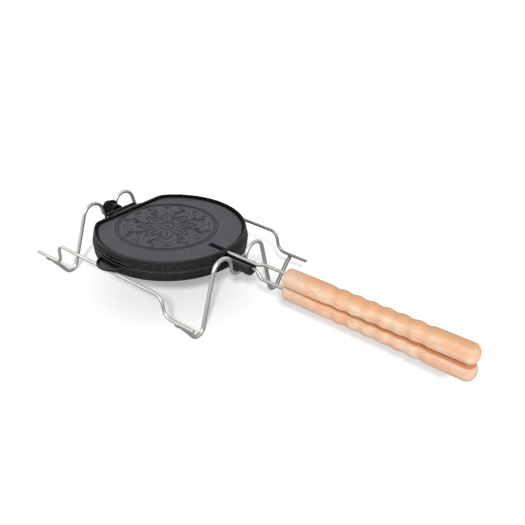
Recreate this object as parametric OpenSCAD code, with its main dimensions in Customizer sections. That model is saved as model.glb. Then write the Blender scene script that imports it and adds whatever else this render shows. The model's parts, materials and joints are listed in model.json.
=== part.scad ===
// Rotating waffle iron: two hinged castings that roll over in a stand of bent wire.
// Lengths are in millimetres and +Z is up. The roll axis runs along X at y = 0.
// The origin lies on the standing surface, halfway along the whole length.

/* [Plates] */
// Radius of both plates at the parting line
plate_r = 97; // [94:0.5:100]
// Thickness of the upper plate
upper_h = 12; // [11:0.25:14]
// Thickness of the lower plate
lower_h = 13.1; // [12:0.1:14.5]
// Lean of the upper plate's side wall, from the parting line to the outer face
upper_draft = 2.3; // [1:0.1:3]
// Lean of the lower plate's side wall
lower_draft = 1; // [0.6:0.1:2]
// Distance by which the upper plate's side stands back from the lower one's at the parting line
seam_step = 0.5; // [0.2:0.1:0.8]
// Bevel along the lower plate's upper edge
seam_bevel = 0.7; // [0.4:0.1:1.2]
// Depth of the straight rear side, measured in from the full circle
chord_cut = 18; // [16:0.5:20]
// Radius of the two corners beside the straight rear side
corner_r = 22; // [18:0.5:26]
// Width of the raised rim round the outer face
rim_w = 4.8; // [4:0.2:6]
// Fall of the rim's top from its outer edge to the field
rim_fall = 0.9; // [0.4:0.1:1.2]
// Depth of the field below the rim's outer edge
field_d = 3.2; // [2.4:0.1:3.4]
// Rounding of the rim's outer edge
edge_round = 1.6; // [0.8:0.1:1.9]
// Gap between the closed plates
parting_gap = 0.4; // [0.2:0.05:0.6]

/* [Waffle pattern] */
// Width of the flat land round the batter space
land_w = 12; // [10:0.5:15]
// Depth of the batter space in one plate
cavity_d = 3.6; // [3:0.1:4]
// Height of the ribs in the batter space
rib_h = 1.4; // [1:0.1:1.5]
// Width of a rib at its foot
rib_w = 3.2; // [2.5:0.1:4]
// Distance from rib to rib
rib_pitch = 14; // [12:0.5:18]

/* [Neck and spool] */
// Radius of the neck's journal that lies in the front saddle
journal_r = 10.2; // [9.6:0.1:11]
// Length of that journal
journal_l = 17; // [15:0.5:22]
// Radius of the neck's barrel
barrel_r = 8.7; // [8:0.1:9]
// Length of the barrel with its end ring
barrel_l = 18; // [14:0.5:22]
// Radius of the ring at the neck's end
end_ring_r = 9.2; // [9:0.1:9.6]
// Distance from the hinge axis back to the rear saddle
rear_reach = 25; // [23:0.5:30]
// Radius of the spool that lies in the rear saddle
spool_r = 8.2; // [7.5:0.1:9]
// Radius of the disc that keeps the spool in its saddle
disc_r = 11; // [10.4:0.1:12]
// Thickness of that disc
disc_t = 4; // [3:0.25:5]

/* [Hinge] */
// Distance from the straight rear side back to the hinge axis
hinge_set = 14; // [13:0.5:17]
// Radius of the knuckles
knuckle_r = 6.2; // [5.5:0.1:7]
// Width of the middle knuckle
middle_w = 21.4; // [20.6:0.2:26]
// Width of each outer knuckle
outer_w = 12.5; // [10:0.5:16]
// Radius of the hinge pin
pin_r = 2.5; // [2:0.1:3]
// Gap beside the middle knuckle
knuckle_gap = 0.3; // [0.2:0.05:0.6]
// Thickness of the web that joins a knuckle to its plate
web_t = 3.5; // [3:0.1:4.5]
// Width of the ledge along the straight rear side
ledge_w = 3.2; // [2.4:0.1:4.5]

/* [Lug and lip] */
// Radius of the round lug that catches overflowing batter
lug_r = 19.7; // [16:0.1:23]
// Distance that the lug reaches out beyond its rail
lug_reach = 8.5; // [6:0.1:12]
// Depth of the lug's underside below the parting line
lug_low = 5.6; // [5:0.1:7]
// Depth of the lug's rim below the parting line
lug_rim = 1.5; // [1:0.1:2]
// Thickness of the lug's wall and floor
lug_wall = 1.8; // [1.4:0.1:2.2]
// Height of the lip over the lug, above the parting line
lip_z = 3.5; // [3:0.1:4.5]
// Thickness of that lip
lip_t = 1.1; // [0.9:0.1:1.4]
// Depth of the groove above the lip and of the recess below it
lip_cut = 3.8; // [3:0.1:4.2]
// Height of the groove above the lip
groove_h = 5; // [4:0.1:5.5]

/* [Handles] */
// Radius of both handle rods
rod_r = 2.05; // [1.9:0.05:2.4]
// Height of the upper rod above the parting line at the plate
upper_rod_z = 7.7; // [7.5:0.05:7.8]
// Height of the upper rod above the parting line at its grip
upper_bend_z = 11.5; // [10:0.1:13]
// Depth of the lower rod below the parting line at its grip
lower_bend_z = 9; // [7:0.1:10]
// Length of the groove in the upper plate's outer face
slot_l = 31.5; // [24:0.5:40]
// Width of that groove
slot_w = 8; // [6:0.5:10]
// Distance from the plate's edge to the grips
grip_start = 86.4; // [74:0.2:100]
// Length of a grip
grip_l = 229; // [210:1:250]
// Radius of a grip
grip_r = 11.6; // [10.5:0.1:12.5]
// Distance from a grip's axis to its flat inner face
grip_flat = 7.4; // [6.5:0.1:8.5]
// Gap between the two grips at the plate end
grip_gap = 1.2; // [0.6:0.1:1.6]
// Gap between the two grips at the far end
grip_spread = 5.2; // [3:0.2:6]
// Distance from a grip's plate end to its first crest
wave_start = 56; // [50:1:70]
// Distance from crest to crest
wave_pitch = 17.8; // [16:0.2:20]
// Number of finger grooves
wave_count = 7; // [5:1:8]
// Depth of the finger grooves
wave_d = 1.2; // [0.8:0.1:1.8]
// Depth of the bore that holds the rod in its grip
grip_bore = 75; // [40:1:120]

/* [Stand] */
// Height of the roll axis above the standing surface
axis_h = 69.3; // [60:0.1:90]
// Diameter of the wire of the two saddles
wire_d = 5; // [4.5:0.1:5.5]
// Radius of the arch beside each saddle, along the wire's middle
arch_r = 15.8; // [13:0.1:18]
// Distance by which the rear frame's arches sit below the front frame's
rear_sink = 2.6; // [1:0.1:3.5]
// Radius of the foot bends, along the wire's middle
foot_r = 9.5; // [8:0.1:12]
// Distance from a foot's middle out to the rail
foot_inset = 32.5; // [28:0.5:36]
// Depth of the flat worn on the underside of each foot
foot_flat = 0.5; // [0.3:0.05:0.8]
// Diameter of the wire of the two rails
rail_d = 4; // [3.5:0.1:4.5]
// Clear distance between the plates and a rail
rail_clear = 4.8; // [3.5:0.1:7]
// Drop of the rail's ends below its raised middle
rail_drop = 24.9; // [20:0.1:28]
// Radius of the rail's front bends, along the wire's middle
front_bend = 12.2; // [6:0.1:13]
// Radius of the rail's rear bends, along the wire's middle
rear_bend = 8.4; // [5:0.1:9]
// Length of the front step, from its upper to its lower end
front_step = 25.2; // [20:0.2:28]
// Length of the rear step, from its upper to its lower end
rear_step = 16; // [15:0.2:24]
// Distance from the front saddle back to the front step's lower end
front_step_set = 8.4; // [7:0.2:12]
// Distance from the rear saddle forward to the rear step's lower end
rear_step_set = 18.4; // [12:0.2:22]
// Length of rail in front of the front saddle
rail_nose = 25.4; // [12:0.2:34]
// Length of rail behind the rear saddle
rail_tail = 19.3; // [12:0.2:34]

/* [Fits] */
// Gap between a journal and its saddle
saddle_gap = 0.2; // [0.1:0.05:0.3]
// Gap between the lug and its rail
seat_gap = 0.2; // [0.1:0.05:0.3]
// Gap round a rod in its bore
bore_gap = 0.03; // [0.02:0.01:0.05]
// Gap round the hinge pin in the knuckles
pin_gap = 0.05; // [0.03:0.01:0.1]
// Gap under the upper rod where the neck makes way for it
channel_gap = 0.4; // [0.3:0.05:0.6]

/* [Hidden] */

iron = "#4d4c50";
steel = "#c4c6c8";
wood = "#e9c49b";

// Facets of large and of small round forms
fine = 240;
small = 64;

wire_r = wire_d / 2;
rail_r = rail_d / 2;
half_gap = parting_gap / 2;
chord_x = chord_cut - plate_r;
corner_x = chord_x + corner_r;
corner_y = sqrt(pow(plate_r - corner_r, 2) - pow(corner_x, 2));

// Places along the roll axis
neck_gap = 0.5;
neck_x = plate_r + neck_gap;
barrel_x = neck_x + journal_l;
neck_end = barrel_x + barrel_l;
wire_room = 0.5;
front_x = barrel_x - wire_r - wire_room;
hinge_x = chord_x - hinge_set;
rear_x = hinge_x - rear_reach;
disc_gap = 0.4;
disc_x = rear_x + wire_r + disc_gap;
grip_x = plate_r + grip_start;
rail_front = front_x + rail_nose;
rail_rear = rear_x - rail_tail;
middle_x = (grip_x + grip_l + rail_rear) / 2;

// Places of the rails and of the lug that rests on the left one
rail_y = plate_r + rail_clear + rail_r;
rail_z = -(lug_low + seat_gap + rail_r);
rail_low = rail_z - rail_drop;
lug_x = -3;
lug_y = -(rail_y + lug_reach - lug_r);
lip_turn = 2;

// Centres of the lower bends of a saddle frame, as [across, up]
end_r = 5;
end_l = 0.4;
end_inset = 1.2;
weld_gap = 0.05;
foot_c = [rail_y - foot_inset, foot_r + wire_r - foot_flat - axis_h];
end_z = rail_low - rail_r - wire_r - weld_gap;
end_c = [rail_y - end_inset, end_z - end_r];

// Small allowance that lets cuts run past the faces they open
past = 1;

// Thickness of the plates' side wall where the ledge and the webs enter it
wall_t = 3;

// Room that a rod leaves at the end of its bore
end_gap = 1;

// A wire draws down by bend_thin in its bends, and a bend reaches into a straight by lap
bend_thin = 0.02;
lap = 0.3;

// Points on an arc of radius r round c, from angle a to angle b
function arc(c, r, a, b, n) = [for (i = [0:n]) c + r * [cos(a + (b - a) * i / n), sin(a + (b - a) * i / n)]];

// Length and direction of the straight that crosses from one bend to the next, which turns the other way
function cross_l(a, b, ra, rb) = sqrt(pow(norm(b - a), 2) - pow(ra + rb, 2));
function cross_a(a, b, ra, rb, side) = atan2(b.y - a.y, b.x - a.x) + side * asin((ra + rb) / norm(b - a));

// Angle of a step that changes height by h over the length s with bends of radius r
function step_a(s, h, r) = 2 * atan(h / (s + sqrt(s * s - (4 * r - h) * h)));
function step_l(s, h, r) = h / sin(step_a(s, h, r)) - 2 * r * tan(step_a(s, h, r) / 2);

// Cylinder along X from x = a to x = b
module rod_x(a, b, r) {
    translate([a, 0, 0]) rotate([0, 90, 0]) cylinder(h = b - a, r = r, $fn = small);
}

// Cylinder along Y from y = a to y = b
module rod_y(a, b, r) {
    translate([0, b, 0]) rotate([90, 0, 0]) cylinder(h = b - a, r = r, $fn = small);
}

// Solid turned round the X axis from an outline of [along, out] points
module turned_x(outline) {
    rotate([0, 90, 0]) rotate_extrude($fn = fine) {
        polygon([for (p = outline) [p.y, p.x]]);
    }
}

// Bend of a wire in the XY plane, from the origin towards +X and round by a turn to either side.
// It is drawn down by bend_thin, and its ends reach into what it joins by lap_a and lap_b.
module bend(radius, turn, r, lap_a, lap_b) {
    deg = 180 / PI / radius;
    flip = turn < 0 ? 1 : 0;
    mirror([0, flip, 0]) translate([0, radius, 0]) rotate([0, 0, -90 - lap_a * deg]) {
        rotate_extrude(angle = abs(turn) + (lap_a + lap_b) * deg, $fn = fine) {
            translate([radius, 0]) circle(r = r - bend_thin, $fn = small);
        }
    }
}

// Wire in the XY plane that starts at the origin towards +X.
// A step of one number is a straight length and a step of two is a bend radius and a turn.
// A bend that follows a bend is joined to it by a short sleeve.
module bent_wire(steps, r, i = 0) {
    if (i < len(steps)) {
        s = steps[i];
        if (len(s) == 1) {
            rod_x(0, s[0], r);
            translate([s[0], 0, 0]) bent_wire(steps, r, i + 1);
        } else {
            meets_bend = i == 0 || len(steps[i - 1]) == 2;
            before_bend = i + 1 < len(steps) && len(steps[i + 1]) == 2;
            bend(s[0], s[1], r, meets_bend ? -lap / 3 : lap, before_bend ? -lap / 3 : lap);
            if (meets_bend) {
                rod_x(-1.5 * lap, 1.5 * lap, r);
            }
            translate([s[0] * sin(abs(s[1])), sign(s[1]) * s[0] * (1 - cos(s[1])), 0]) {
                rotate([0, 0, s[1]]) bent_wire(steps, r, i + 1);
            }
        }
    }
}

// Solid with the plates' outline, whose side follows a list of [inset, height] points
module plate_shape(side) {
    low = side[0].y;
    high = side[len(side) - 1].y;
    difference() {
        intersection() {
            rotate_extrude($fn = fine) {
                polygon(concat([[0, low]], [for (p = side) [plate_r - p.x, p.y]], [[0, high]]));
            }
            rotate([90, 0, 0]) linear_extrude(height = 3 * plate_r, center = true) {
                polygon(concat([[2 * plate_r, low]], [for (p = side) [chord_x + p.x, p.y]], [[2 * plate_r, high]]));
            }
        }
        for (s = [0, 1]) {
            mirror([0, s, 0]) corner_cut(side, low, high);
        }
    }
}

// What the rounding of one corner takes off the plates' outline
module corner_cut(side, low, high) {
    c = [corner_x, corner_y];
    out = c * plate_r / norm(c) * 1.2;
    translate([corner_x, corner_y, 0]) difference() {
        translate([0, 0, low - past]) linear_extrude(height = high - low + 2 * past) {
            polygon([[0, 0], out - c, [-2 * corner_r, out.y - c.y], [-2 * corner_r, 0]]);
        }
        translate([0, 0, low - past]) cylinder(h = past, r = corner_r - side[0].x, $fn = fine);
        rotate_extrude($fn = fine) {
            polygon(concat([[0, low]], [for (p = side) [corner_r - p.x, p.y]], [[0, high]]));
        }
        translate([0, 0, high]) cylinder(h = past, r = corner_r - side[len(side) - 1].x, $fn = fine);
    }
}

// Crossed ribs of one plate's batter space
module ribs() {
    count = ceil(plate_r / rib_pitch);
    top = half_gap + cavity_d - rib_h;
    foot = half_gap + cavity_d + past;
    for (turn = [0, 90]) {
        for (i = [-count:count]) {
            rotate([0, 0, turn]) translate([0, i * rib_pitch, 0]) rotate([90, 0, 90]) {
                linear_extrude(height = 3 * plate_r, center = true) {
                    polygon([
                        [-rib_w / 3, top], [rib_w / 3, top],
                        [rib_w / 2, half_gap + cavity_d], [rib_w / 2, foot],
                        [-rib_w / 2, foot], [-rib_w / 2, half_gap + cavity_d]
                    ]);
                }
            }
        }
    }
}

// One plate with its outer face up, of thickness h: rim, field, side wall and batter space.
// The seam's points start the side, and draft is the side's lean.
module half_casting(h, draft, seam) {
    outer = concat(seam, arc([draft + edge_round, h - edge_round], edge_round, 180, 90, 5));
    fillet = 0.9;
    flat_w = 0.3;
    in_w = draft + rim_w;
    field_z = h - field_d;
    crest_w = draft + edge_round + flat_w;
    field = concat(
        arc([in_w + fillet, field_z + fillet], fillet, 270, 180, 3),
        arc([in_w - fillet, h - rim_fall - fillet], fillet, 0, 75, 3),
        [[crest_w, h], [crest_w, h + past]]
    );
    batter = [[land_w - 1, -past], [land_w, half_gap], [land_w + 2, half_gap + cavity_d]];
    difference() {
        plate_shape(outer);
        plate_shape(field);
        difference() {
            plate_shape(batter);
            ribs();
        }
    }
}

// Web from the side wall to the knuckles, between two places across the plate, with its ledge at a height
module knuckle_web(y0, y1, ledge_z) {
    slope = 1.5;
    translate([0, y1, 0]) rotate([90, 0, 0]) linear_extrude(height = y1 - y0) {
        polygon([
            [hinge_x, half_gap], [chord_x + wall_t, half_gap], [chord_x + wall_t, ledge_z],
            [chord_x - ledge_w, ledge_z], [chord_x - ledge_w - slope, web_t], [hinge_x, web_t]
        ]);
    }
}

// Front neck: it lies in the front saddle and holds the lower rod
module neck() {
    bevel = 0.8;
    root = 6;
    ring_l = 6.5;
    intersection() {
        rod_x(plate_r - root, neck_x + past, journal_r);
        translate([0, -plate_r, -lower_h]) cube([2 * plate_r, 2 * plate_r, lower_h - half_gap]);
    }
    turned_x([
        [neck_x, 0], [neck_x, journal_r - bevel], [neck_x + bevel, journal_r],
        [barrel_x - bevel, journal_r], [barrel_x, journal_r - bevel], [barrel_x, barrel_r],
        [neck_end - ring_l - bevel, barrel_r], [neck_end - ring_l, end_ring_r],
        [neck_end - bevel, end_ring_r], [neck_end, end_ring_r - bevel], [neck_end, 0]
    ]);
}

// Rear spool: it lies in the rear saddle, and its disc in front of the wire keeps it there
module spool() {
    bevel = 0.8;
    stub = 1.5;
    inner_r = 5;
    inner_x = hinge_x - 2;
    spool_x = rear_x - wire_r - stub;
    turned_x([
        [spool_x, 0], [spool_x, spool_r - bevel], [spool_x + bevel, spool_r],
        [disc_x, spool_r], [disc_x, disc_r - bevel], [disc_x + bevel, disc_r],
        [disc_x + disc_t - bevel, disc_r], [disc_x + disc_t, disc_r - bevel], [disc_x + disc_t, spool_r],
        [hinge_x - knuckle_r - 0.5, spool_r], [inner_x, inner_r], [inner_x, 0]
    ]);
}

// Shallow round bowl that rests on the left rail
module lug() {
    base = 1.6;
    bevel = 0.5;
    root = 4;
    floor_z = lug_wall - lug_low;
    inner_r = lug_r - lug_wall;
    difference() {
        translate([lug_x, lug_y, 0]) rotate_extrude($fn = fine) {
            polygon([
                [0, -lug_low], [lug_r - base, -lug_low], [lug_r, base - lug_low],
                [lug_r, -lug_rim - bevel], [lug_r - bevel, -lug_rim], [inner_r + bevel, -lug_rim],
                [inner_r - bevel, floor_z + bevel], [inner_r - 3 * bevel, floor_z], [0, floor_z]
            ]);
        }
        translate([0, 0, -lower_h]) cylinder(h = lower_h, r = plate_r - root, $fn = fine);
    }
}

// What is cut off the upper plate's wall over the lug: a recess below the lip and a groove above it
module lip_cuts() {
    span = 3 * lug_r;
    out_r = 1.2 * plate_r;
    in_r = plate_r - lip_cut;
    wall_h = 1.5;
    ease = 0.3;
    slope = (groove_h - wall_h) / lip_cut;
    rotate([0, 0, lip_turn]) translate([-span / 2, 0, 0]) rotate([90, 0, 90]) linear_extrude(height = span) {
        polygon([[-out_r, -past], [-in_r, -past], [-in_r, lip_z - lip_t - ease], [-out_r, lip_z - lip_t]]);
        polygon([
            [-out_r, lip_z], [-in_r - ease, lip_z + ease],
            [-in_r - ease, lip_z + wall_h], [-out_r, lip_z + wall_h + slope * (out_r - in_r)]
        ]);
    }
}

module lower_plate() {
    bore_l = barrel_l + journal_l / 2;
    color(iron) difference() {
        union() {
            mirror([0, 0, 1]) half_casting(lower_h, lower_draft, [[seam_bevel, half_gap], [0, half_gap + seam_bevel]]);
            lug();
            neck();
            spool();
            translate([hinge_x, 0, 0]) rod_y(-middle_w / 2, middle_w / 2, knuckle_r);
            mirror([0, 0, 1]) knuckle_web(-middle_w / 2, middle_w / 2, web_t);
        }
        translate([hinge_x, 0, 0]) rod_y(-middle_w, middle_w, pin_r + bore_gap);
        rod_x(neck_end - bore_l, neck_end + past, rod_r + bore_gap);
        translate([neck_x - past, -2 * journal_r, upper_rod_z - rod_r - channel_gap]) {
            cube([neck_end - neck_x + 2 * past, 4 * journal_r, 2 * journal_r]);
        }
    }
}

module upper_plate() {
    inner = middle_w / 2 + knuckle_gap;
    slot_x = plate_r - slot_l;
    slot_end = plate_r - upper_draft - rim_w;
    slot_z = upper_rod_z - rod_r - channel_gap / 4;
    ledge_z = upper_h - 3;
    ledge_t = 2;
    color(iron) difference() {
        union() {
            half_casting(upper_h, upper_draft, [[seam_step, half_gap]]);
            for (s = [0, 1]) {
                mirror([0, s, 0]) {
                    translate([hinge_x, 0, 0]) rod_y(inner, inner + outer_w, knuckle_r);
                    knuckle_web(inner, inner + outer_w, ledge_z);
                }
            }
            translate([chord_x - ledge_w, -inner, ledge_z - ledge_t]) cube([ledge_w + wall_t, 2 * inner, ledge_t]);
        }
        lip_cuts();
        translate([hinge_x, 0, 0]) rod_y(-plate_r, plate_r, pin_r + pin_gap);
        translate([slot_x, -slot_w / 2, slot_z]) cube([slot_end - slot_x, slot_w, upper_h]);
        translate([0, 0, upper_rod_z]) rod_x(slot_end - past, plate_r + past, rod_r + bore_gap);
    }
}

module hinge_pin() {
    recess = 0.6;
    bevel = 0.4;
    reach = middle_w / 2 + knuckle_gap + outer_w - recess;
    color(steel) translate([hinge_x, 0, 0]) {
        rod_y(bevel - reach, reach - bevel, pin_r);
        for (s = [0, 1]) {
            mirror([0, s, 0]) translate([0, reach - bevel, 0]) rotate([-90, 0, 0]) {
                cylinder(h = bevel, r1 = pin_r, r2 = pin_r - bevel, $fn = small);
            }
        }
    }
}

module lower_handle_rod() {
    seat = barrel_l + journal_l / 2 - end_gap;
    bend = 7;
    lead = 3.5;
    drop_l = 14;
    drop = step_a(drop_l, lower_bend_z, bend);
    tail = grip_x - neck_end - lead - drop_l + grip_bore - end_gap;
    color(steel) translate([neck_end - seat, 0, 0]) rotate([90, 0, 0]) bent_wire([
        [seat + lead], [bend, -drop], [step_l(drop_l, lower_bend_z, bend)], [bend, drop], [tail]
    ], rod_r);
}

module upper_handle_rod() {
    start = plate_r - slot_l + end_gap;
    bend = 10;
    lead = 7;
    rise_l = 13;
    rise = upper_bend_z - upper_rod_z;
    turn = step_a(rise_l, rise, bend);
    tail = grip_x - neck_end - lead - rise_l + grip_bore - end_gap;
    color(steel) translate([start, 0, upper_rod_z]) rotate([90, 0, 0]) bent_wire([
        [neck_end + lead - start], [bend, turn], [step_l(rise_l, rise, bend)], [bend, -turn], [tail]
    ], rod_r);
}

// Grip along +X with its flat face down, before it is placed
module grip_form() {
    end_round = 3.5;
    dome_l = 9.5;
    wave_l = wave_count * wave_pitch;
    wave_n = wave_count * 12;
    groove = [for (i = [0:wave_n])
        [wave_start + wave_l * i / wave_n, grip_r - wave_d / 2 * (1 - cos(360 * i * wave_count / wave_n))]
    ];
    dome = [for (i = [0:8])
        [grip_l - dome_l + dome_l * sin(90 * i / 8), grip_r - grip_r * (1 - cos(90 * i / 8))]
    ];
    difference() {
        turned_x(concat([[0, 0]], arc([end_round, grip_r - end_round], end_round, 180, 90, 5), groove, dome));
        translate([-past, -grip_r - past, -2 * grip_r - grip_flat]) {
            cube([grip_l + 2 * past, 2 * (grip_r + past), 2 * grip_r]);
        }
    }
}

// Grip of the upper handle in its place, with the bore for its rod
module placed_grip(rod_z) {
    lean = asin((grip_spread - grip_gap) / 2 / grip_l);
    difference() {
        translate([grip_x, 0, grip_flat + grip_gap / 2]) rotate([0, -lean, 0]) grip_form();
        translate([0, 0, rod_z]) rod_x(grip_x - past, grip_x + grip_bore, rod_r + bore_gap);
    }
}

module lower_grip() {
    color(wood) mirror([0, 0, 1]) placed_grip(lower_bend_z);
}

module upper_grip() {
    color(wood) placed_grip(upper_bend_z);
}

// One saddle frame round a journal of radius r: saddle, two arches, two legs and two feet in one bent wire.
// Its arches have their middles at a distance sink below the roll axis.
module saddle_frame(x, r, sink) {
    saddle_r = r + saddle_gap + wire_r;
    reach = saddle_r + arch_r;
    lean = asin(sink / reach);
    arch_c = reach * [cos(lean), -sin(lean)];
    leg_a = cross_a(arch_c, foot_c, arch_r, foot_r, -1);
    rise_a = cross_a(foot_c, end_c, foot_r, end_r, 1);
    side = [
        [arch_r, leg_a - 90 + lean], [cross_l(arch_c, foot_c, arch_r, foot_r)],
        [foot_r, rise_a - leg_a], [cross_l(foot_c, end_c, foot_r, end_r)], [end_r, -rise_a], [end_l]
    ];
    start = saddle_r * [cos(lean), -sin(lean)];
    color(steel) difference() {
        translate([x, 0, 0]) rotate([90, 0, 90]) {
            translate([-start.x, start.y, 0]) rotate([0, 0, lean - 90]) {
                bend(saddle_r, 180 - 2 * lean, wire_r, -lap / 3, -lap / 3);
            }
            for (s = [0, 1]) {
                mirror([s, 0, 0]) translate([start.x, start.y, 0]) rotate([0, 0, 90 - lean]) bent_wire(side, wire_r);
            }
        }
        translate([x - wire_d, -2 * rail_y, -axis_h - wire_d]) cube([2 * wire_d, 4 * rail_y, wire_d]);
    }
}

module front_saddle_frame() {
    saddle_frame(front_x, journal_r, 0);
}

module rear_saddle_frame() {
    saddle_frame(rear_x, spool_r, rear_sink);
}

// One rail: low ends that rest on the saddle frames and a raised middle beside the plates
module rail() {
    rear_a = step_a(rear_step, rail_drop, rear_bend);
    front_a = step_a(front_step, rail_drop, front_bend);
    rear_l = rear_x + rear_step_set - rail_rear;
    front_l = rail_front - front_x + front_step_set;
    middle_l = front_x - front_step_set - front_step - (rear_x + rear_step_set + rear_step);
    translate([rail_rear, 0, rail_low]) rotate([90, 0, 0]) bent_wire([
        [rear_l], [rear_bend, rear_a], [step_l(rear_step, rail_drop, rear_bend)], [rear_bend, -rear_a],
        [middle_l],
        [front_bend, -front_a], [step_l(front_step, rail_drop, front_bend)], [front_bend, front_a], [front_l]
    ], rail_r);
}

module left_rail() {
    color(steel) translate([0, -rail_y, 0]) rail();
}

module right_rail() {
    color(steel) translate([0, rail_y, 0]) rail();
}

// Two weld beads where a saddle frame's ends carry the rails
module welds(x) {
    bead_r = 2.9;
    tip_y = rail_y - end_inset + end_l + weld_gap;
    color(steel) for (s = [0, 1]) {
        mirror([0, s, 0]) difference() {
            translate([x, rail_y, rail_low - rail_r]) sphere(r = bead_r, $fn = small);
            translate([0, rail_y, rail_low]) rod_x(x - wire_d, x + wire_d, rail_r + weld_gap);
            translate([x, 0, end_z]) rod_y(rail_y - wire_d, tip_y, wire_r + weld_gap);
        }
    }
}

module front_welds() {
    welds(front_x);
}

module rear_welds() {
    welds(rear_x);
}

// Moves a piece from the roll axis to its place above the standing surface
module place() {
    translate([-middle_x, 0, axis_h]) children();
}

place() lower_plate();
place() upper_plate();
place() hinge_pin();
place() lower_handle_rod();
place() upper_handle_rod();
place() lower_grip();
place() upper_grip();
place() front_saddle_frame();
place() rear_saddle_frame();
place() left_rail();
place() right_rail();
place() front_welds();
place() rear_welds();
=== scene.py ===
"""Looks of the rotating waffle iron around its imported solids. Lengths are in metres, unless it says mm."""

import json
import math

import bmesh
import bpy
from mathutils import Matrix, Vector


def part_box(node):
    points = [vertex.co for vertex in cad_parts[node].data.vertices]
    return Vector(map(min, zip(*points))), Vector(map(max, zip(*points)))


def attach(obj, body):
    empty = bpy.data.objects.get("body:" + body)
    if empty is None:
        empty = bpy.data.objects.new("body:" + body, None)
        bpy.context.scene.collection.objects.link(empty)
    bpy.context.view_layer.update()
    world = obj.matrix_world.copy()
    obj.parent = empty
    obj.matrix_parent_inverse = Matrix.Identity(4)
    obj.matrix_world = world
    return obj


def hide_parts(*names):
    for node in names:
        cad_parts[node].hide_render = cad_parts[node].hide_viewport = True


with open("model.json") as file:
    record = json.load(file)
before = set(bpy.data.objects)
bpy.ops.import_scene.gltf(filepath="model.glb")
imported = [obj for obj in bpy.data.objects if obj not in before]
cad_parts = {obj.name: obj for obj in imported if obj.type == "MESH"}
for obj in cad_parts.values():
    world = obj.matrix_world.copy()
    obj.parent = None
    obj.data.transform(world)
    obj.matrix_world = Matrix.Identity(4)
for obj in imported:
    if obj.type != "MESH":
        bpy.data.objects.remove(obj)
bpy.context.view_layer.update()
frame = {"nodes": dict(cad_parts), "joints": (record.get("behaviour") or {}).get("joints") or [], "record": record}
nodes = frame["nodes"]
MM = 0.001

# Places and sizes taken from the frame
joints = {joint["name"]: joint for joint in frame["joints"]}
AXIS_Z = joints["roll"]["pos_m"][2]
HINGE_X = joints["lid_open"]["pos_m"][0]
grip_low, grip_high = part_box("upper_grip")
plate_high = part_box("upper_plate")[1]
GRIP_X = grip_low.x
GRIP_L = grip_high.x - grip_low.x
GRIP_R = (grip_high.y - grip_low.y) / 2
PLATE_EDGE_X = plate_high.x

# Sizes of the round plates that the frame doesn't give, as in the CAD
HINGE_TO_CENTRE = 93 * MM
PLATE_R = 97 * MM
FIELD_DEPTH = 3.2 * MM
CENTRE_X = HINGE_X + HINGE_TO_CENTRE
FIELD_Z = plate_high.z - FIELD_DEPTH


# Objects and their turns
def new_object(name, data):
    thing = bpy.data.objects.new(name, data)
    bpy.context.scene.collection.objects.link(thing)
    return thing


def rotation(degrees, axis):
    return Matrix.Rotation(math.radians(degrees), 4, axis)


# Camera, as fitted to the photograph
PHOTO_PX = 525
FOCAL_PX = 717.97
SENSOR_MM = 36
CAMERA_AT = (0.448396, -0.561422, 0.488008)
CAMERA_AZIMUTH = 37.99
CAMERA_ELEVATION = 29.63
CAMERA_ROLL = 1.69


def put_camera():
    data = bpy.data.cameras.new("camera")
    data.sensor_width = SENSOR_MM
    data.lens = FOCAL_PX / PHOTO_PX * SENSOR_MM
    data.clip_start = 10 * MM
    camera = new_object("camera", data)
    turn = rotation(CAMERA_AZIMUTH, "Z") @ rotation(90 - CAMERA_ELEVATION, "X") @ rotation(CAMERA_ROLL, "Z")
    camera.matrix_world = Matrix.Translation(CAMERA_AT) @ turn
    bpy.context.scene.camera = camera


# Helpers for node trees. A value, tone or mask is a number, a tuple or the output of another node.
WHITE = (1.0, 1.0, 1.0)


def grey(level):
    return (level, level, level)


def put(tree, socket, value):
    if isinstance(value, bpy.types.NodeSocket):
        tree.links.new(value, socket)
    else:
        socket.default_value = value


def add(tree, kind, inputs=None, **settings):
    """A new shader node, with its settings made and its inputs filled by name."""
    node = tree.nodes.new("ShaderNode" + kind)
    for name, value in settings.items():
        setattr(node, name, value)
    for name, value in (inputs or {}).items():
        put(tree, node.inputs[name], value)
    return node


def start_material(name):
    """A new material with its principled shader, and the place of the point being shaded."""
    material = bpy.data.materials.new(name)
    material.use_nodes = True
    tree = material.node_tree
    shader = tree.nodes["Principled BSDF"]
    place = add(tree, "TexCoord").outputs["Object"]
    return material, tree, shader, place


def split(tree, vector):
    """The X, Y and Z of a vector, by name."""
    return add(tree, "SeparateXYZ", {"Vector": vector}).outputs


def surface_normal(tree):
    return add(tree, "TexCoord").outputs["Normal"]


def noise(tree, place, scale, detail=3, roughness=0.5, lengthwise=1):
    """Noise of so many grains per metre, drawn out along X where lengthwise is below 1."""
    mapped = add(tree, "Mapping", {"Vector": place, "Scale": (lengthwise, 1, 1)})
    values = {"Vector": mapped.outputs[0], "Scale": scale, "Detail": detail, "Roughness": roughness}
    return add(tree, "TexNoise", values).outputs["Fac"]


def math_node(tree, operation, a, b=0.0):
    node = add(tree, "Math", operation=operation)
    put(tree, node.inputs[0], a)
    put(tree, node.inputs[1], b)
    return node.outputs[0]


def vector_node(tree, operation, a, b, output="Value"):
    node = add(tree, "VectorMath", operation=operation)
    put(tree, node.inputs[0], a)
    put(tree, node.inputs[1], b)
    return node.outputs[output]


def ramp(tree, fac, stops):
    """A tone for each factor from 0 to 1, by straight lines between the stops of factor and tone."""
    node = add(tree, "ValToRGB", {"Fac": fac})
    elements = node.color_ramp.elements
    while len(elements) < len(stops):
        elements.new(0.5)
    for element, (at, tone) in zip(elements, stops):
        element.position = at
        element.color = (*(tone if isinstance(tone, tuple) else grey(tone)), 1)
    return node.outputs["Color"]


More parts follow.
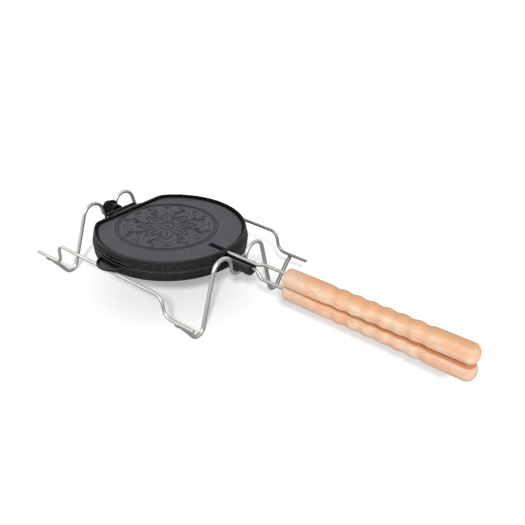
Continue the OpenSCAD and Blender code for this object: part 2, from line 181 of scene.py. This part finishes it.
def spread(tree, value, stops):
    """A ramp over any span of values."""
    first, last = stops[0][0], stops[-1][0]
    share = math_node(tree, "DIVIDE", math_node(tree, "SUBTRACT", value, first), last - first)
    return ramp(tree, share, [((at - first) / (last - first), tone) for at, tone in stops])


def past(tree, length, start, stops):
    """A ramp over how far a length lies past its start, with stops of mm and tone."""
    return spread(tree, length, [(start + mm * MM, tone) for mm, tone in stops])


def between(tree, value, low, high):
    """1 where a value lies between two others, else 0."""
    above = math_node(tree, "GREATER_THAN", value, low)
    return math_node(tree, "MULTIPLY", above, math_node(tree, "LESS_THAN", value, high))


def all_of(tree, mask, *others):
    """1 where every mask is 1."""
    for other in others:
        mask = math_node(tree, "MULTIPLY", mask, other)
    return mask


def mix_colour(tree, fac, a, b, mode="MIX"):
    node = add(tree, "Mix", data_type="RGBA", blend_type=mode)
    put(tree, node.inputs["Factor"], fac)
    put(tree, node.inputs["A"], a if not isinstance(a, tuple) else (*a, 1))
    put(tree, node.inputs["B"], b if not isinstance(b, tuple) else (*b, 1))
    return node.outputs["Result"]


def times(tree, tone, *others):
    """The product of tones."""
    for other in others:
        tone = mix_colour(tree, 1.0, tone, other, "MULTIPLY")
    return tone


def where(tree, mask, tone):
    """A tone where the mask is 1, and white elsewhere."""
    return mix_colour(tree, mask, WHITE, tone)


def layered(tree, tone, layers):
    """A tone under layers of mask and colour."""
    for mask, colour in layers:
        tone = mix_colour(tree, mask, tone, colour)
    return tone


def bumps(tree, layers):
    """A normal roughened by layers of height, strength and distance."""
    normal = None
    for height, strength, distance in layers:
        values = {"Height": height, "Strength": strength, "Distance": distance}
        if normal is not None:
            values["Normal"] = normal
        normal = add(tree, "Bump", values).outputs["Normal"]
    return normal


def edge_mask(tree, radius, low, high):
    """White where the surface turns sharply, black on flat stretches."""
    soft = add(tree, "Bevel", {"Radius": radius}, samples=6).outputs["Normal"]
    true = add(tree, "NewGeometry").outputs["Normal"]
    turned = math_node(tree, "SUBTRACT", 1.0, vector_node(tree, "DOT_PRODUCT", soft, true))
    return ramp(tree, turned, [(low, 0.0), (high, 1.0)])


def hollow_mask(tree, distance, low, high, darkest):
    """White in the open, falling to the darkest value in crevices and hollows."""
    open_air = add(tree, "AmbientOcclusion", {"Distance": distance}, samples=8).outputs["AO"]
    return ramp(tree, open_air, [(low, darkest), (high, 1.0)])


# Cast iron. The lists hold mm and tone. Their mm count from the field's height, the hinge, the plates' front
# edge, the plates' radius, and the roll axis's height for the last two.
# Painted shade: sides get darker tones than flat faces. The dark and light of each pair vary at random.
SIDE_DARK, SIDE_LIGHT = (0.0085, 0.0085, 0.0100), (0.0150, 0.0148, 0.0165)
FACE_DARK, FACE_LIGHT = (0.044, 0.0430, 0.052), (0.055, 0.0535, 0.064)
# Painted highlight on sharp edges.
EDGE_HIGHLIGHT_IRON = (0.190, 0.186, 0.182)
# Painted shade in the rod's slot.
SLOT_SHADE = grey(0.01)
SLOT_L, SLOT_HALF_W = 36 * MM, 5 * MM
LUG_Y = -60 * MM
# Painted sheen: flat faces get a higher specular level than sides.
SIDE_SHEEN, FACE_SHEEN = 0.26, 0.46
FLAT_FACES = [(0.94, 0.0), (0.99, 1.0)]
# Painted shade on the rim's top, above the field.
RIM_SHADE_TONES = [(1.2, 1.0), (2.0, 0.78)]
# Darker towards the hinge.
REAR_TONES = [(0, 0.35), (10, 1.0)]
# Painted light on the neck's sides.
NECK_LIGHT_TONES = [(6, 1.0), (15, 2.2)]
# Painted shade at the lug's root.
LUG_SHADE_TONES = [(0.9, 0.05), (5.85, 1.0)]
# Painted highlight just below the parting line, and painted shade in its gap and just above.
SEAM_LIGHT_AND_SHADE = [(-1.68, 1.0), (-0.96, 1.9), (-0.36, 1.9), (0, 0.12), (0.84, 0.20), (1.68, 1.0)]
# Painted light and shade on the walls by height: darker near their bottoms, lighter towards their top edges.
WALL_LIGHT_TONES = [(-14, 0.75), (-2.4, 1.1), (1.6, 0.80), (10.4, 0.95), (16, 1.8)]


def iron_hollows(tree, place, at, flat):
    """Painted shade: dark in creases and hollows, on walls facing the centre, at the lug's root and in the rod's
    slot.
    """
    crease = hollow_mask(tree, 4.5 * MM, 0.55, 0.88, 0.02)
    pocket = hollow_mask(tree, 14 * MM, 0.30, 0.78, 0.04)
    centre = (CENTRE_X, 0, AXIS_Z)
    outward = vector_node(tree, "SUBTRACT", place, centre, "Vector")
    turned_out = vector_node(tree, "DOT_PRODUCT", surface_normal(tree), outward)
    inner_wall = spread(tree, turned_out, [(-0.24 * PLATE_R, 0.10), (-0.10 * PLATE_R, 1.0)])
    reach = vector_node(tree, "DISTANCE", place, centre)
    on_lug = all_of(
        tree,
        flat,
        math_node(tree, "LESS_THAN", at["Y"], LUG_Y),
        math_node(tree, "LESS_THAN", at["Z"], AXIS_Z + 5 * MM),
        math_node(tree, "GREATER_THAN", reach, PLATE_R - 0.9 * MM),
    )
    in_slot = all_of(
        tree,
        between(tree, at["X"], PLATE_EDGE_X - SLOT_L, PLATE_EDGE_X - 1 * MM),
        between(tree, at["Y"], -SLOT_HALF_W, SLOT_HALF_W),
        between(tree, at["Z"], AXIS_Z + 3.5 * MM, FIELD_Z - 0.6 * MM),
    )
    root = where(tree, on_lug, past(tree, reach, PLATE_R, LUG_SHADE_TONES))
    return times(tree, pocket, crease, inner_wall, root, where(tree, in_slot, SLOT_SHADE))


def cast_iron():
    """Sand-cast iron with a seasoned skin, grainy and nearly black, with painted light and shade: greyer on flat
    faces, painted highlights along edges, at the seam and on the neck, painted shade in hollows, on the rim's top
    and on the walls by height, and darker towards the hinge.
    """
    material, tree, shader, place = start_material("cast_iron")
    at = split(tree, place)
    grain = noise(tree, place, 820, detail=4, roughness=0.70)
    pits = noise(tree, place, 2400, detail=2)
    waves = noise(tree, place, 60)
    patches = noise(tree, place, 24, detail=4, roughness=0.6)
    upright = math_node(tree, "ABSOLUTE", split(tree, surface_normal(tree))["Z"])
    flat = ramp(tree, upright, FLAT_FACES)
    sloped = math_node(tree, "SUBTRACT", 1.0, flat)
    speckle = ramp(tree, grain, [(0.38, 0.40), (0.62, 1.60)])

    # Painted shade in creases and hollows, on walls facing the centre, at the lug's root and in the slot.
    hollow = iron_hollows(tree, place, at, flat)
    # Painted shade on the flat faces of the rim's top.
    rim = where(tree, flat, past(tree, at["Z"], FIELD_Z, RIM_SHADE_TONES))
    # Darker towards the hinge, in tone and sheen.
    hinge_dark = past(tree, at["X"], HINGE_X, REAR_TONES)
    # The grain's speckle together with the painted shade, in tone and sheen.
    grain_and_shade = times(tree, speckle, hollow, rim, hinge_dark)
    # Painted light on the sloped faces of the neck.
    neck_light = where(tree, sloped, past(tree, at["X"], PLATE_EDGE_X, NECK_LIGHT_TONES))
    # Painted highlight and shade at the seam.
    seam = past(tree, at["Z"], AXIS_Z, SEAM_LIGHT_AND_SHADE)
    # Painted light and shade on the walls by height.
    wall = past(tree, at["Z"], AXIS_Z, WALL_LIGHT_TONES)
    # All the painted light and shade of sloped faces: neck, seam and walls.
    wall_and_neck_light = times(tree, neck_light, where(tree, sloped, times(tree, seam, wall)))

    # Painted shade: sloped sides darker than flat faces.
    side = ramp(tree, patches, [(0.3, SIDE_DARK), (0.7, SIDE_LIGHT)])
    face = ramp(tree, patches, [(0.3, FACE_DARK), (0.7, FACE_LIGHT)])
    tone = times(tree, mix_colour(tree, flat, side, face), grain_and_shade, wall_and_neck_light)
    # Painted highlight along sharp edges, broken up by the grain.
    sparks = ramp(tree, grain, [(0.40, 0.10), (0.60, 0.95)])
    edge_highlight = math_node(tree, "MULTIPLY", edge_mask(tree, 1.0 * MM, 0.02, 0.24), sparks)
    put(tree, shader.inputs["Base Color"], mix_colour(tree, edge_highlight, tone, EDGE_HIGHLIGHT_IRON))
    # Painted sheen: flat faces glossier than sides, and less sheen in the painted shade.
    sheen = times(tree, ramp(tree, flat, [(0.0, SIDE_SHEEN), (1.0, FACE_SHEEN)]), grain_and_shade)
    put(tree, shader.inputs["Specular IOR Level"], sheen)
    put(tree, shader.inputs["Roughness"], ramp(tree, grain, [(0.3, 0.44), (0.7, 0.64)]))
    skin = bumps(tree, [(waves, 0.25, 0.5 * MM), (grain, 0.60, 0.26 * MM), (pits, 0.30, 0.10 * MM)])
    put(tree, shader.inputs["Normal"], skin)
    return material


# Steel wire. The list holds mm to the right of the roll axis and tone: painted shade that darkens the wire on that
# side.
STAND_WIRE = (0.69, 0.67, 0.64)
WELD = (0.52, 0.50, 0.48)
ROD = (0.54, 0.525, 0.50)
SMUDGED = 0.80
# The rod is black short of this X, in the plate's slot.
ROD_BLACK_TO = PLATE_EDGE_X - 7 * MM
SLOT_ROD_DARK, SLOT_ROD_LIGHT = (0.003, 0.003, 0.004), (0.014, 0.013, 0.013)
SLOT_ROD_SHEEN = 0.03
FAR_SIDE_SHADE_TONES = [(69.6, 1.0), (81.6, 0.42), (96, 0.42), (102, 0.60)]


def steel_wire(name, tone, smoothest, roughest, black_to=None):
    """Drawn stainless wire: satin, with faint drawing marks and a few smudges, painted shade on its far side, and
    black short of a given X, where it lies in the plate's slot.
    """
    material, tree, shader, place = start_material(name)
    at = split(tree, place)
    marks = noise(tree, place, 900, lengthwise=0.12)
    smudge = noise(tree, place, 45, detail=4, roughness=0.65)
    smudged = tuple(SMUDGED * channel for channel in tone)
    colour = ramp(tree, smudge, [(0.32, smudged), (0.62, tone)])
    # Painted shade on the wire's far side.
    colour = times(tree, colour, past(tree, at["Y"], 0, FAR_SIDE_SHADE_TONES))
    put(tree, shader.inputs["Metallic"], 1.0)
    # Black along the part in the plate's slot.
    if black_to is not None:
        blackened = math_node(tree, "LESS_THAN", at["X"], black_to)
        black_skin = ramp(tree, marks, [(0.35, SLOT_ROD_DARK), (0.7, SLOT_ROD_LIGHT)])
        colour = mix_colour(tree, blackened, colour, black_skin)
        put(tree, shader.inputs["Metallic"], math_node(tree, "SUBTRACT", 1.0, blackened))
        put(tree, shader.inputs["Specular IOR Level"], SLOT_ROD_SHEEN)
    put(tree, shader.inputs["Base Color"], colour)
    rough = ramp(tree, smudge, [(0.3, roughest), (0.7, smoothest)])
    put(tree, shader.inputs["Roughness"], mix_colour(tree, 0.5, rough, marks, "OVERLAY"))
    put(tree, shader.inputs["Normal"], bumps(tree, [(marks, 0.16, 0.06 * MM)]))
    return material


# Beech. The ringed part's mm count from the grips' plate end.
WOOD_DEEP = (0.830, 0.535, 0.325)
WOOD_PALE = (0.900, 0.635, 0.425)
WOOD_PALEST = (0.920, 0.690, 0.490)
WARM_PATCH, PALE_PATCH = (0.860, 0.480, 0.300), (0.850, 0.690, 0.550)
GRAIN_LINE = (0.730, 0.420, 0.230)
# Painted shade: a deeper orange on faces turned up or down.
PAINTED_ORANGE_SHADE = (0.740, 0.370, 0.175)
FLECK = (0.50, 0.26, 0.13)
RING_GROOVE, RING_CREST = (0.600, 0.330, 0.190), (0.980, 0.850, 0.700)
# Painted shade: the lower grip slightly darker and redder.
LOWER_GRIP_SHADE = (0.940, 0.90, 0.90)
WOOD_SHEEN = 0.38
RING_PITCH = 2.2 * MM
RINGED_PART = [(2.4, 0.0), (4.8, 1.0), (24, 0.9), (33.6, 0.0)]


def turning_rings(tree, place, at):
    """Masks of the crests and grooves that the turning tool left near the grips' plate end."""
    turns = math_node(tree, "DIVIDE", math_node(tree, "SUBTRACT", at["X"], GRIP_X), RING_PITCH)
    wave = math_node(tree, "SINE", math_node(tree, "MULTIPLY", turns, 2 * math.pi))
    ring = spread(tree, wave, [(-0.10, 0.0), (0.50, 1.0)])
    near = past(tree, at["X"], GRIP_X, RINGED_PART)
    uneven = ramp(tree, noise(tree, place, 120, detail=2), [(0.35, 0.35), (0.65, 1.0)])
    return all_of(tree, ring, near, uneven), all_of(tree, math_node(tree, "SUBTRACT", 1.0, ring), near)


def beech():
    """Turned and oiled beech: soft mottled grain, short dark flecks and fine rings near the plate end, with
    painted shade: a deeper orange on faces turned up or down, and a darker, redder lower grip.
    """
    material, tree, shader, place = start_material("beech")
    at = split(tree, place)
    streaks = noise(tree, place, 210, detail=5, roughness=0.6, lengthwise=0.05)
    bands = noise(tree, place, 40, lengthwise=0.20)
    flecks = noise(tree, place, 1000, detail=2, lengthwise=0.14)
    fibres = noise(tree, place, 2400, detail=2, lengthwise=0.03)
    mottle = noise(tree, place, 90, detail=4, roughness=0.65, lengthwise=0.50)
    upright = math_node(tree, "ABSOLUTE", split(tree, surface_normal(tree))["Z"])
    crest, groove = turning_rings(tree, place, at)
    tone = ramp(tree, bands, [(0.32, WOOD_DEEP), (0.52, WOOD_PALE), (0.72, WOOD_PALEST)])
    tone = layered(tree, tone, [
        (ramp(tree, mottle, [(0.47, 0.0), (0.58, 0.75)]), WARM_PATCH),
        (ramp(tree, mottle, [(0.40, 0.75), (0.48, 0.0)]), PALE_PATCH),
        (ramp(tree, streaks, [(0.36, 0.50), (0.50, 0.10), (0.60, 0.0)]), GRAIN_LINE),
        # Painted shade on faces turned up or down.
        (ramp(tree, upright, [(0.55, 0.0), (0.92, 0.80)]), PAINTED_ORANGE_SHADE),
        (ramp(tree, flecks, [(0.26, 0.5), (0.36, 0.0)]), FLECK),
        (math_node(tree, "MULTIPLY", groove, 0.45), RING_GROOVE),
        (math_node(tree, "MULTIPLY", crest, 0.60), RING_CREST),
    ])
    # Painted shade on the lower grip.
    lower = math_node(tree, "LESS_THAN", at["Z"], AXIS_Z)
    put(tree, shader.inputs["Base Color"], times(tree, tone, where(tree, lower, LOWER_GRIP_SHADE)))
    put(tree, shader.inputs["Roughness"], ramp(tree, streaks, [(0.3, 0.44), (0.7, 0.56)]))
    put(tree, shader.inputs["Specular IOR Level"], WOOD_SHEEN)
    skin = bumps(tree, [(fibres, 0.20, 0.08 * MM), (flecks, 0.12, 0.06 * MM), (crest, 0.45, 0.12 * MM)])
    put(tree, shader.inputs["Normal"], skin)
    return material


# Meshes
def join_rings(shape, pairs):
    """Faces between pairs of equal closed rings of vertices."""
    for a, b in pairs:
        n = len(a)
        for k in range(n):
            shape.faces.new((a[k], b[k], b[(k + 1) % n], a[(k + 1) % n]))


def finished_mesh(name, shape, smooth_to):
    """A mesh with its faces turned outward, shaded smooth over edges of up to so many degrees."""
    bmesh.ops.recalc_face_normals(shape, faces=shape.faces)
    mesh = bpy.data.meshes.new(name)
    shape.to_mesh(mesh)
    shape.free()
    mesh.shade_smooth()
    mesh.set_sharp_from_angle(angle=math.radians(smooth_to))
    return mesh


def put_piece(name, mesh, material, body):
    piece = new_object(name, mesh)
    mesh.materials.append(material)
    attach(piece, body)
    return piece


# Grips, as in the CAD, but finer, with the edges of their flat face eased and without the bores
WAVE_START = 56 * MM
WAVE_PITCH = 17.8 * MM
WAVE_COUNT = 7
WAVE_DEPTH = 1.2 * MM
GRIP_FLAT = 7.4 * MM
GRIP_GAP = 1.2 * MM
GRIP_SPREAD = 5.2 * MM
END_ROUND = 3.5 * MM
DOME_L = 9.5 * MM
GRIP_SIDES = 96
FLAT_SHARPNESS = 26
TINY_R = 0.2 * MM
END_RINGS, BODY_RINGS, DOME_RINGS = 8, 210, 16


def grip_radius(along):
    """Radius of a grip at a distance from its plate end."""
    if along < END_ROUND:
        return GRIP_R - END_ROUND + math.sqrt(max(0.0, END_ROUND**2 - (END_ROUND - along) ** 2))
    if along > GRIP_L - DOME_L:
        share = min(1.0, (along - GRIP_L + DOME_L) / DOME_L)
        return GRIP_R * math.sqrt(max(0.0, 1 - share**2))
    wave = (along - WAVE_START) / WAVE_PITCH
    if 0 < wave < WAVE_COUNT:
        return GRIP_R - WAVE_DEPTH / 2 * (1 - math.cos(2 * math.pi * wave))
    return GRIP_R


def grip_stations():
    """Distances of a grip's rings from its plate end."""
    dome_at = GRIP_L - DOME_L
    body_l = dome_at - END_ROUND
    quarter = math.pi / 2
    stations = [END_ROUND * (1 - math.cos(quarter * i / END_RINGS)) for i in range(END_RINGS + 1)]
    stations += [END_ROUND + body_l * i / BODY_RINGS for i in range(1, BODY_RINGS + 1)]
    stations += [dome_at + DOME_L * math.sin(quarter * i / DOME_RINGS) for i in range(1, DOME_RINGS)]
    return stations


def grip_ring(shape, along):
    """A ring round outside and flat inside, with its edges eased."""
    r = grip_radius(along)
    ring = []
    for k in range(GRIP_SIDES):
        angle = 2 * math.pi * (k + 0.5) / GRIP_SIDES
        y, z = math.sin(angle), math.cos(angle)
        reach = r
        if z < 0 and r > TINY_R:
            cut = GRIP_FLAT / -z
            reach = (r**-FLAT_SHARPNESS + cut**-FLAT_SHARPNESS) ** (-1 / FLAT_SHARPNESS)
        ring.append(shape.verts.new((along, reach * y, reach * z)))
    return ring


def grip_mesh(name, side):
    """A grip as one smooth skin of rings, leaning away from the other grip."""
    shape = bmesh.new()
    rings = [grip_ring(shape, along) for along in grip_stations()]
    join_rings(shape, zip(rings, rings[1:]))
    for ring, end_x in ((rings[0], 0.0), (rings[-1], GRIP_L)):
        end = shape.verts.new((end_x, 0, 0))
        for k in range(GRIP_SIDES):
            pair = (ring[k], ring[(k + 1) % GRIP_SIDES])
            shape.faces.new((end, *pair) if end_x == 0 else (pair[1], pair[0], end))
    place = Matrix.Translation((GRIP_X, 0, AXIS_Z))
    if side < 0:
        place = place @ Matrix.Scale(-1, 4, (0, 0, 1))
    lean = math.asin((GRIP_SPREAD - GRIP_GAP) / 2 / GRIP_L)
    place = place @ Matrix.Translation((0, 0, GRIP_FLAT + GRIP_GAP / 2)) @ Matrix.Rotation(-lean, 4, "Y")
    bmesh.ops.transform(shape, matrix=place, verts=shape.verts)
    return finished_mesh(name, shape, 60)


def put_grips(material):
    for name, side, body in (("upper_grip", 1, "upper_half"), ("lower_grip", -1, "lower_half")):
        piece = put_piece("turned_" + name, grip_mesh("turned_" + name, side), material, body)
        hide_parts(name)


# Ornament of the upper plate: a rosette in a double ring, drawn in raised lines
ROSETTE_X = CENTRE_X - 7 * MM
LINE_W = 1.5 * MM
LEAF_LINE_W = 1.1 * MM
LINE_H = 0.65 * MM
SUNK = 0.1 * MM
DOT_SIDES = 16
PETALS = 8
ROSETTE_RINGS = ((64 * MM, 180), (60.5 * MM, 170), (9 * MM, 48))
HEART_R, DOT_R = 3.2 * MM, 1.1 * MM
PETAL = (11 * MM, 37 * MM, 7.5 * MM)
STEM = (22 * MM, 55 * MM, 2.2 * MM)
LEAF = (0, 9.5 * MM, 2.1 * MM)
# Strokes, by mm from the rosette's centre. Each leaf also has its side and lean, and each dot its angle aside.
VEIN_X = (15, 18, 21, 24, 27, 30)
LEAVES = ((34, 1, 0.55), (41, -1, 0.5), (48, 1, 0.45))
FOOT_ASIDE = 0.6
DOTS = ((45, -0.12), (48, 0.0), (45, 0.12))
BAR_X = 53
BAR_Y = (-6, -4, -2, 0, 2, 4, 6)


def raised_line(shape, points, width=LINE_W, closed=False):
    """Adds a rounded ridge along points of the plate's plane, tapered at its ends unless it is closed."""
    profile = [(-0.5, -SUNK), (-0.42, 0.45 * LINE_H), (-0.2, 0.9 * LINE_H), (0.0, LINE_H)]
    profile += [(-across, up) for across, up in reversed(profile[:-1])]
    last = len(points) - 1
    rings = []
    for i, point in enumerate(points):
        before = points[i - 1] if closed or i > 0 else point
        after = points[(i + 1) % len(points)] if closed or i < last else point
        side = (after - before).normalized().orthogonal()
        share = 1.0 if closed else min(1.0, 0.3 + 3.0 * min(i, last - i) / last)
        ring = []
        for across, up in profile:
            at = point + side * across * width * share
            ring.append(shape.verts.new((at.x, at.y, FIELD_Z + up * (share if up > 0 else 1.0))))
        rings.append(ring)
    join_rings(shape, zip(rings, rings[1:]))
    if closed:
        join_rings(shape, [(rings[-1], rings[0])])
    else:
        shape.faces.new(rings[0])
        shape.faces.new(reversed(rings[-1]))


def raised_dot(shape, centre, r):
    """Adds a round button on the plate's plane."""
    turn = [2 * math.pi * k / DOT_SIDES for k in range(DOT_SIDES)]
    rings = []
    for share, up in ((1.0, -SUNK), (0.94, 0.4 * LINE_H), (0.7, 0.85 * LINE_H), (0.35, LINE_H)):
        places = [(centre.x + r * share * math.cos(a), centre.y + r * share * math.sin(a)) for a in turn]
        rings.append([shape.verts.new((*place, FIELD_Z + up)) for place in places])
    for a, b in zip(rings, rings[1:]):
        for k in range(DOT_SIDES):
            shape.faces.new((a[k], a[(k + 1) % DOT_SIDES], b[(k + 1) % DOT_SIDES], b[k]))
    shape.faces.new(rings[-1])
    shape.faces.new(reversed(rings[0]))


def turned(points, angle, centre):
    """Points drawn round zero, turned by an angle and carried to a centre."""
    turn = Matrix.Rotation(angle, 2)
    return [turn @ point + centre for point in points]


def circle(r, count):
    angles = [2 * math.pi * i / count for i in range(count)]
    return [Vector((r * math.cos(angle), r * math.sin(angle))) for angle in angles]


def petal(base, tip, half_w, count=20):
    """Both edges of a pointed leaf along +X, as one open line from its base round the tip and back."""
    edge = []
    for i in range(count + 1):
        share = i / count
        edge.append(Vector((base + (tip - base) * share, half_w * math.sin(math.pi * share**0.8))))
    return edge + [Vector((point.x, -point.y)) for point in reversed(edge[:-1])]


def wavy_stem(r0, r1, sway, count=18):
    """An open line along +X that sways to both sides."""
    shares = [i / count for i in range(count + 1)]
    return [Vector((r0 + (r1 - r0) * share, sway * math.sin(2.2 * math.pi * share))) for share in shares]


def mm_points(*places):
    return [Vector((x * MM, y * MM)) for x, y in places]


def put_ornament(material):
    shape = bmesh.new()
    centre = Vector((ROSETTE_X, 0))
    for r, count in ROSETTE_RINGS:
        raised_line(shape, turned(circle(r, count), 0, centre), closed=True)
    raised_dot(shape, centre, HEART_R)
    for k in range(PETALS):
        angle = 2 * math.pi * k / PETALS
        between_petals = angle + math.pi / PETALS
        raised_line(shape, turned(petal(*PETAL), angle, centre))
        raised_line(shape, turned(mm_points(*((x, 0) for x in VEIN_X)), angle, centre))
        raised_line(shape, turned(wavy_stem(*STEM), between_petals, centre))
        for r, side, lean in LEAVES:
            leaf = petal(*LEAF, count=10)
            foot = turned(mm_points((r, FOOT_ASIDE * side)), between_petals, centre)[0]
            raised_line(shape, turned(leaf, between_petals + side * lean, foot), width=LEAF_LINE_W)
        for r, aside in DOTS:
            raised_dot(shape, turned(mm_points((r, 0)), angle + aside, centre)[0], DOT_R)
        raised_line(shape, turned(mm_points(*((BAR_X, y) for y in BAR_Y)), angle, centre))
    put_piece("rosette", finished_mesh("rosette", shape, 50), material, "upper_half")


# Floor
FLOOR_HALF = 4.0
SEEN_PAPER, PLAIN_PAPER, MIRRORED_PAPER = 0.95, 0.80, 0.46
SEEN_LIFT = 0.26


def paper(tree, level):
    return add(tree, "BsdfDiffuse", {"Color": (*grey(level), 1)}).outputs[0]


def shaders(tree, kind, first, second, inputs=None):
    """The sum or mix of two shaders."""
    node = add(tree, kind, inputs)
    free = [socket for socket in node.inputs if socket.type == "SHADER"]
    put(tree, free[0], first)
    put(tree, free[1], second)
    return node.outputs[0]


def put_floor():
    """A wide table: nearly white to the camera, plain to the light, and grey in the gloss of the part."""
    half = FLOOR_HALF
    corners = [(-half, -half, 0), (half, -half, 0), (half, half, 0), (-half, half, 0)]
    mesh = bpy.data.meshes.new("floor")
    mesh.from_pydata(corners, [], [(0, 1, 2, 3)])
    floor = new_object("floor", mesh)
    material = bpy.data.materials.new("floor_paper")
    material.use_nodes = True
    tree = material.node_tree
    tree.nodes.remove(tree.nodes["Principled BSDF"])
    path = add(tree, "LightPath").outputs
    lift = add(tree, "Emission", {"Color": (*WHITE, 1), "Strength": SEEN_LIFT}).outputs[0]
    seen = shaders(tree, "AddShader", paper(tree, SEEN_PAPER), lift)
    plain, mirrored = paper(tree, PLAIN_PAPER), paper(tree, MIRRORED_PAPER)
    unseen = shaders(tree, "MixShader", plain, mirrored, {"Fac": path["Is Glossy Ray"]})
    mixed = shaders(tree, "MixShader", unseen, seen, {"Fac": path["Is Camera Ray"]})
    put(tree, tree.nodes["Material Output"].inputs["Surface"], mixed)
    mesh.materials.append(material)


# World and lamp
AMBIENT = 0.52
SUN_AZIMUTH = CAMERA_AZIMUTH + 1
SUN_ELEVATION = 36.5
SUN_ANGLE = 6
SUN_STRENGTH = 2.10


def put_world():
    """White for the camera, an even studio for the light, and bright rear and left walls for gloss."""
    world = bpy.data.worlds.new("studio")
    bpy.context.scene.world = world
    world.use_nodes = True
    tree = world.node_tree
    background = tree.nodes["Background"]
    put(tree, background.inputs["Color"], (*WHITE, 1))
    path = add(tree, "LightPath").outputs
    direction = add(tree, "TexCoord").outputs["Generated"]
    turn = math.radians(CAMERA_AZIMUTH)
    to_rear = (-math.sin(turn), math.cos(turn), 0.0)
    to_left = (-math.cos(turn), -math.sin(turn), 0.0)
    rearward = vector_node(tree, "DOT_PRODUCT", direction, to_rear)
    leftward = vector_node(tree, "DOT_PRODUCT", direction, to_left)
    rear_wall = spread(tree, rearward, [(-0.30, 0.62), (0.50, 1.0)])
    left_wall = ramp(tree, leftward, [(0.45, 0.0), (0.90, 1.0)])
    walls = mix_colour(tree, 1.0, rear_wall, left_wall, "ADD")
    level = mix_colour(tree, path["Is Glossy Ray"], grey(AMBIENT), walls)
    put(tree, background.inputs["Strength"], mix_colour(tree, path["Is Camera Ray"], level, WHITE))


def put_lamp():
    data = bpy.data.lights.new("key_lamp", "SUN")
    data.angle = math.radians(SUN_ANGLE)
    data.energy = SUN_STRENGTH
    lamp = new_object("key_lamp", data)
    lamp.matrix_world = rotation(SUN_AZIMUTH, "Z") @ rotation(90 - SUN_ELEVATION, "X")


def main():
    iron = cast_iron()
    wire = steel_wire("steel_wire", STAND_WIRE, 0.42, 0.56)
    weld = steel_wire("weld_steel", WELD, 0.40, 0.60)
    wood = beech()
    by_slot = {"cast_iron": iron, "steel_wire": wire, "weld_steel": weld, "beech": wood}
    rod = steel_wire("rod_steel", ROD, 0.36, 0.50, black_to=ROD_BLACK_TO)
    for part in frame["record"]["subparts"]:
        node = nodes[part["node"]]
        material = rod if part["node"].endswith("handle_rod") else by_slot[part["material_slot"]]
        node.data.materials.clear()
        node.data.materials.append(material)
    put_grips(wood)
    put_ornament(iron)
    put_camera()
    put_floor()
    put_world()
    put_lamp()
    bpy.context.scene.view_settings.view_transform = "Standard"


main()
